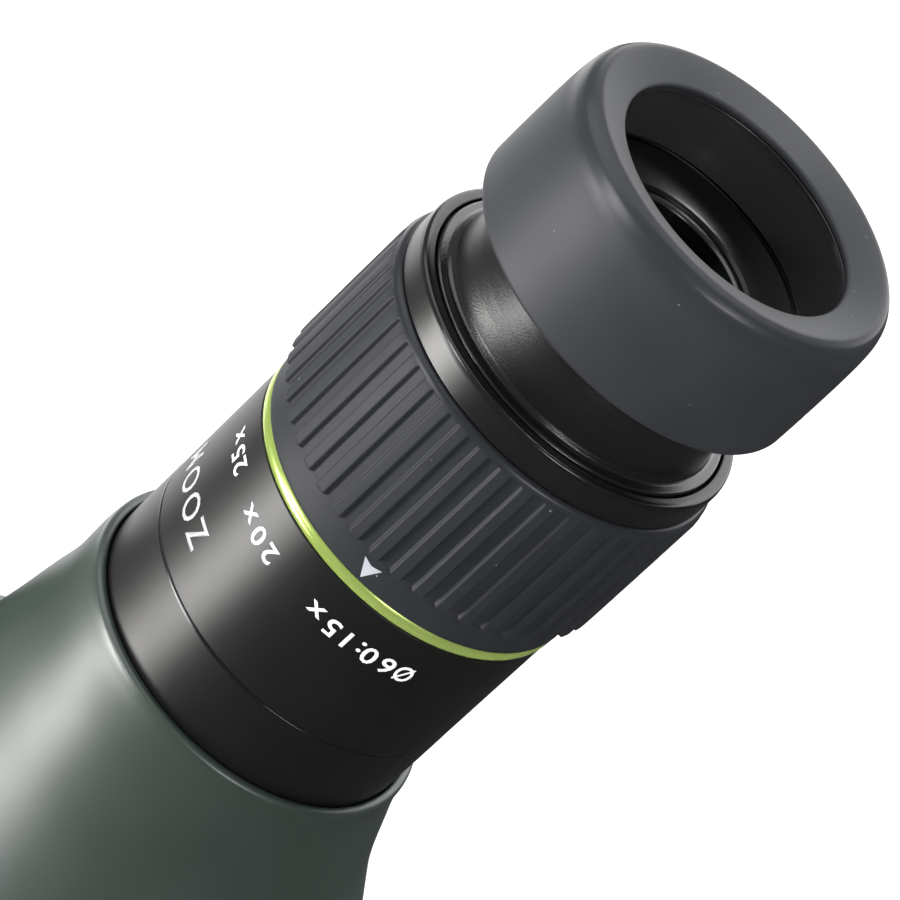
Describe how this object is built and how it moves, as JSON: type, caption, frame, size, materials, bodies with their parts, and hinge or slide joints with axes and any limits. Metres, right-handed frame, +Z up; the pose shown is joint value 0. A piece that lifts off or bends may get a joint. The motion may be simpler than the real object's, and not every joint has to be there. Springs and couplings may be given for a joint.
{
  "type": "spotting scope",
  "caption": "Angled spotting scope with zoom eyepiece, twist-up eyecup, dual focus knobs, sliding sunshade and rotating tripod collar.",
  "frame": {"origin": "centre of the tripod thread at the foot's bottom face", "axes": "+Y forward to the objective, +Z up, +X to the user's right"},
  "size_m": [0.0969, 0.3291, 0.1701],
  "materials": {
    "rubber_grey": "satin moulded rubber with a fine speckle",
    "armour_green": "satin dark green rubber armour",
    "green_paint": "satin dark green paint",
    "black_satin": "satin black anodised with a fine sparkle",
    "black_gloss": "gloss black",
    "lime_anodised": "satin lime anodised",
    "black_matt": "matt black inside paint",
    "aluminium": "machined",
    "steel": "machined",
    "brass": "machined",
    "glass": "coated, clear",
    "nylon": "plain"
  },
  "bodies": {
    "tripod_collar": {"collar_ring": "black_satin", "collar_liner": "nylon", "foot_block": "black_satin", "thread_insert": "brass", "foot_screw_front": "steel", "foot_screw_rear": "steel"},
    "clamp_slide": {"clamp_spindle": "steel"},
    "clamp_grip": {"clamp_knob": "rubber_grey"},
    "scope_body": {"rear_housing": "black_matt", "rear_armour": "armour_green", "purge_screw": "steel", "main_barrel": "black_satin", "barrel_armour": "armour_green", "objective_tube": "black_satin", "objective_cell": "black_matt", "flint_lens": "glass", "crown_lens": "glass", "objective_o_ring": "rubber_grey", "objective_retainer": "black_satin", "front_baffle": "black_matt", "roof_prism": "glass", "prism_plate_left": "aluminium", "prism_plate_right": "aluminium", "prism_shelf": "aluminium", "focus_saddle": "armour_green", "focus_rod": "steel", "neck": "black_satin", "eye_lens_cell": "black_gloss", "eye_lens": "glass", "eye_lens_retainer": "black_gloss", "scale_sleeve": "black_satin", "lock_ring": "black_satin", "inner_barrel": "black_matt", "eyepiece_mount": "aluminium", "field_stop": "black_matt", "field_lens": "glass"},
    "sunshade": {"sunshade_tube": "green_paint", "sunshade_bumper": "rubber_grey"},
    "coarse_drive": {"coarse_knob": "rubber_grey", "focus_shaft": "steel"},
    "fine_drive": {"fine_knob": "rubber_grey"},
    "focus_carriage": {"focus_cell": "black_matt", "focus_lens": "glass"},
    "zoom_drive": {"zoom_ring": "aluminium", "zoom_grip": "rubber_grey", "accent_ring": "lime_anodised", "zoom_cap_ring": "black_satin", "cam_sleeve": "brass", "zoom_drive_screw": "steel"},
    "zoom_front": {"zoom_cell_front": "black_matt", "zoom_lens_front": "glass"},
    "zoom_rear": {"zoom_cell_rear": "black_matt", "zoom_lens_rear": "glass"},
    "eyecup_slide": {"eyecup_guide_ring": "brass"},
    "eyecup": {"eyecup_rubber": "rubber_grey", "eyecup_core": "black_gloss"}
  },
  "joints": [
    {"name": "collar_turn", "type": "hinge", "parent": "tripod_collar", "child": "scope_body", "pos_m": [0, 0, 0.058], "axis": [0, 1, 0], "continuous": true},
    {"name": "clamp_travel", "type": "slide", "parent": "tripod_collar", "child": "clamp_slide", "axis": [1, 0, 0], "range_m": [0, 0.0016]},
    {"name": "clamp_turn", "type": "hinge", "parent": "clamp_slide", "child": "clamp_grip", "pos_m": [0.05, -0.008, 0.058], "axis": [1, 0, 0], "range_deg": [0, 720]},
    {"name": "sunshade_travel", "type": "slide", "parent": "scope_body", "child": "sunshade", "axis": [0, 1, 0], "range_m": [0, 0.042]},
    {"name": "focus_coarse", "type": "hinge", "parent": "scope_body", "child": "coarse_drive", "pos_m": [0, -0.043, 0.1025], "axis": [0, 1, 0], "range_deg": [-270, 270]},
    {"name": "focus_fine", "type": "hinge", "parent": "scope_body", "child": "fine_drive", "pos_m": [0, -0.054, 0.1025], "axis": [0, 1, 0], "range_deg": [-1080, 1080]},
    {"name": "focus_travel", "type": "slide", "parent": "scope_body", "child": "focus_carriage", "axis": [0, 1, 0], "range_m": [-0.009, 0.009]},
    {"name": "zoom_turn", "type": "hinge", "parent": "scope_body", "child": "zoom_drive", "pos_m": [0, -0.14281, 0.12281], "axis": [0, 0.7071, -0.7071], "range_deg": [0, 150]},
    {"name": "zoom_front_travel", "type": "slide", "parent": "scope_body", "child": "zoom_front", "axis": [0, -0.7071, 0.7071], "range_m": [-0.01, 0]},
    {"name": "zoom_rear_travel", "type": "slide", "parent": "scope_body", "child": "zoom_rear", "axis": [0, -0.7071, 0.7071], "range_m": [0, 0.007]},
    {"name": "eyecup_travel", "type": "slide", "parent": "scope_body", "child": "eyecup_slide", "axis": [0, -0.7071, 0.7071], "range_m": [-0.007, 0]},
    {"name": "eyecup_turn", "type": "hinge", "parent": "eyecup_slide", "child": "eyecup", "pos_m": [0, -0.16826, 0.14826], "axis": [0, 0.7071, -0.7071], "range_deg": [0, 120]}
  ],
  "couplings": [
    {"joint": "clamp_turn", "follows": "clamp_travel", "rad_per_m": 7853.2},
    {"joint": "focus_coarse", "follows": "focus_travel", "rad_per_m": 523.55},
    {"joint": "focus_fine", "follows": "focus_travel", "rad_per_m": 2094.2},
    {"joint": "zoom_turn", "follows": "zoom_front_travel", "rad_per_m": -261.77},
    {"joint": "zoom_rear_travel", "follows": "zoom_front_travel", "ratio": -0.7},
    {"joint": "eyecup_turn", "follows": "eyecup_travel", "rad_per_m": -299.17}
  ]
}
